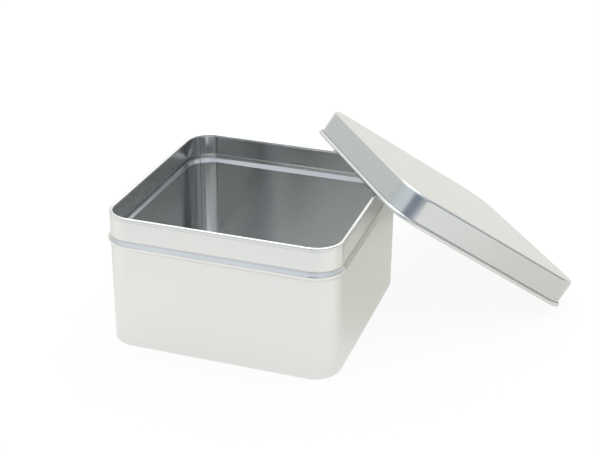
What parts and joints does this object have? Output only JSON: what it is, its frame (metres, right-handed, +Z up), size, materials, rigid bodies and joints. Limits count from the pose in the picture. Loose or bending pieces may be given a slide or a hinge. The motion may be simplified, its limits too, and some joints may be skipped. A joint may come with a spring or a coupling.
{
  "type": "square tin with slip lid",
  "caption": "Square tinplate box with rounded corners, a beaded neck and a rolled rim, standing open with its slip lid leaning on one corner.",
  "frame": {"origin": "on the ground under the middle of the tin's square base", "axes": "+Z up, -Y towards the tin's front face, +X towards its right side; the lid leans on the right and back rims and slopes down between +X and +Y"},
  "size_m": [0.1819, 0.1733, 0.0693],
  "materials": {
    "body_tinplate": "satin tinplate",
    "base_tinplate": "satin tinplate",
    "lid_tinplate": "satin tinplate"
  },
  "bodies": {
    "tin": {"tin_body": "body_tinplate", "base_panel": "base_tinplate"},
    "lid": {"lid": "lid_tinplate"}
  },
  "joints": [
    {"name": "lid_lift", "type": "slide", "parent": "tin", "child": "lid", "axis": [0, 0, 1], "range_m": [0, 0.08]}
  ]
}
